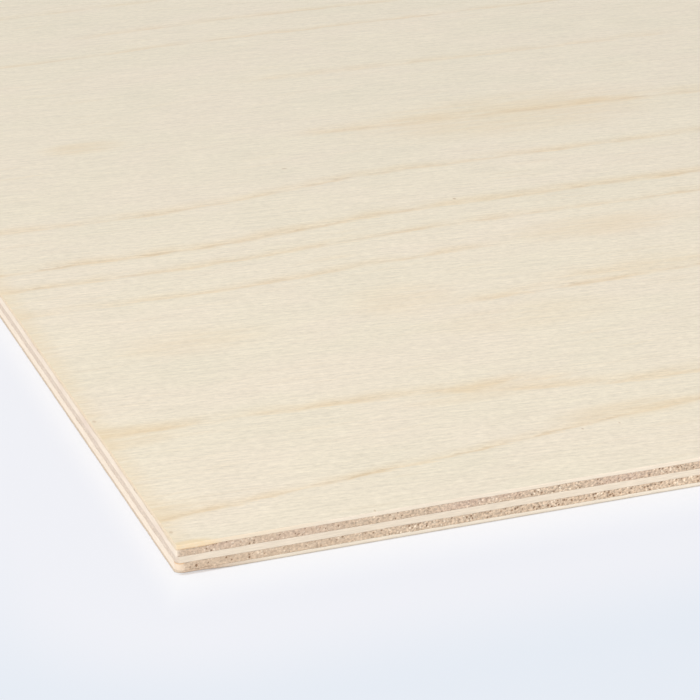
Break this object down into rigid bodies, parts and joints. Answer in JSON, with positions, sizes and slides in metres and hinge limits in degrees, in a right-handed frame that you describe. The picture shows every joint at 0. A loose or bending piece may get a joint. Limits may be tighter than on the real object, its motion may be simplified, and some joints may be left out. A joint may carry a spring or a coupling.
{
  "type": "plywood sheet",
  "caption": "Flat square panel of pale plywood with thin outer veneers over thick crossbands and a pale core, sawn edges showing every ply.",
  "frame": {"origin": "middle of the underside, which lies on the floor", "axes": "+Z out of the upper face; +X along the grain of the face and back; +Y across that grain, away from the near edge"},
  "size_m": [0.6, 0.6, 0.009],
  "materials": {
    "face_veneer": "sanded, unfinished",
    "crossband_veneer": "sawn, unfinished",
    "core_veneer": "sawn, unfinished",
    "back_veneer": "sanded, unfinished"
  },
  "bodies": {
    "root": {"face_veneer": "face_veneer", "upper_crossband": "crossband_veneer", "core_veneer": "core_veneer", "lower_crossband": "crossband_veneer", "back_veneer": "back_veneer"}
  },
  "joints": []
}
